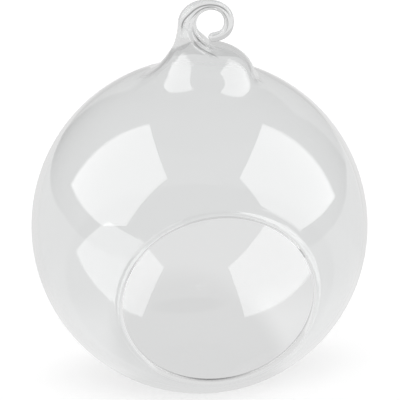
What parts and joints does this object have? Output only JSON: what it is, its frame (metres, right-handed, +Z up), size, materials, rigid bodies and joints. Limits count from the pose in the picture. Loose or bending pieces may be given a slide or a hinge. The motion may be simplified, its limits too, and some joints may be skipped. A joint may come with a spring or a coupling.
{
  "type": "glass globe terrarium",
  "caption": "Clear blown-glass hanging globe with a round side mouth, a flat foot, a hollow crown and a twisted glass hook.",
  "frame": {"origin": "centre of the flat foot that the globe stands on", "axes": "+Z up through the crown, -Y out of the mouth, +X towards the open side of the hook's curl"},
  "size_m": [0.12, 0.1117, 0.1447],
  "materials": {
    "clear_glass": "gloss"
  },
  "bodies": {
    "root": {"globe_shell": "clear_glass", "crown_dome": "clear_glass", "hanging_hook": "clear_glass", "mouth_lip": "clear_glass"}
  },
  "joints": []
}
